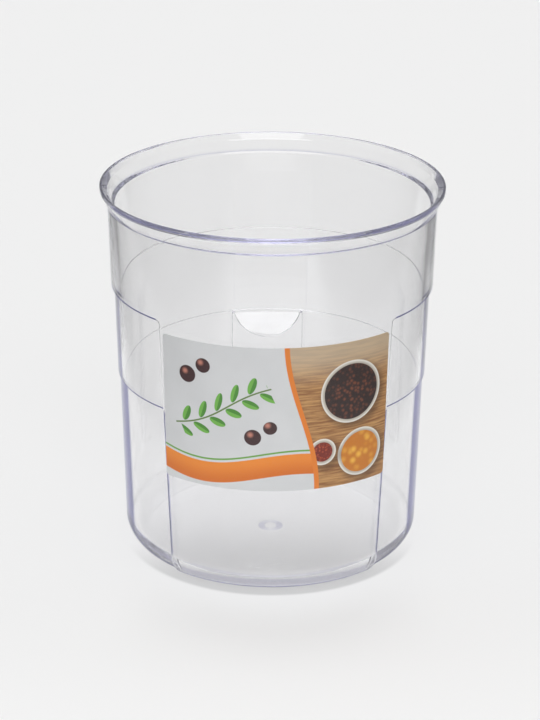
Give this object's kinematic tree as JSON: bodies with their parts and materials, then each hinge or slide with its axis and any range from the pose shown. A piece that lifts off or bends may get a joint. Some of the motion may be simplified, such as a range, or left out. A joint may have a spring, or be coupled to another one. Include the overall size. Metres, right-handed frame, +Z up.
{
  "type": "plastic storage container",
  "caption": "Clear round plastic storage container, open at the top, with a flared rim and a printed label on a raised field at its front, its wall set back round the sides and the back.",
  "frame": {"origin": "centre of the underside that the container stands on", "axes": "+Z up to the mouth, -Y out of the labelled front, +Y out of the back wall that carries the pad"},
  "size_m": [0.132, 0.132, 0.1465],
  "materials": {
    "clear_plastic": "clear, high gloss",
    "label_print": "printed, satin"
  },
  "bodies": {
    "root": {"container_body": "clear_plastic", "front_label": "label_print"}
  },
  "joints": []
}
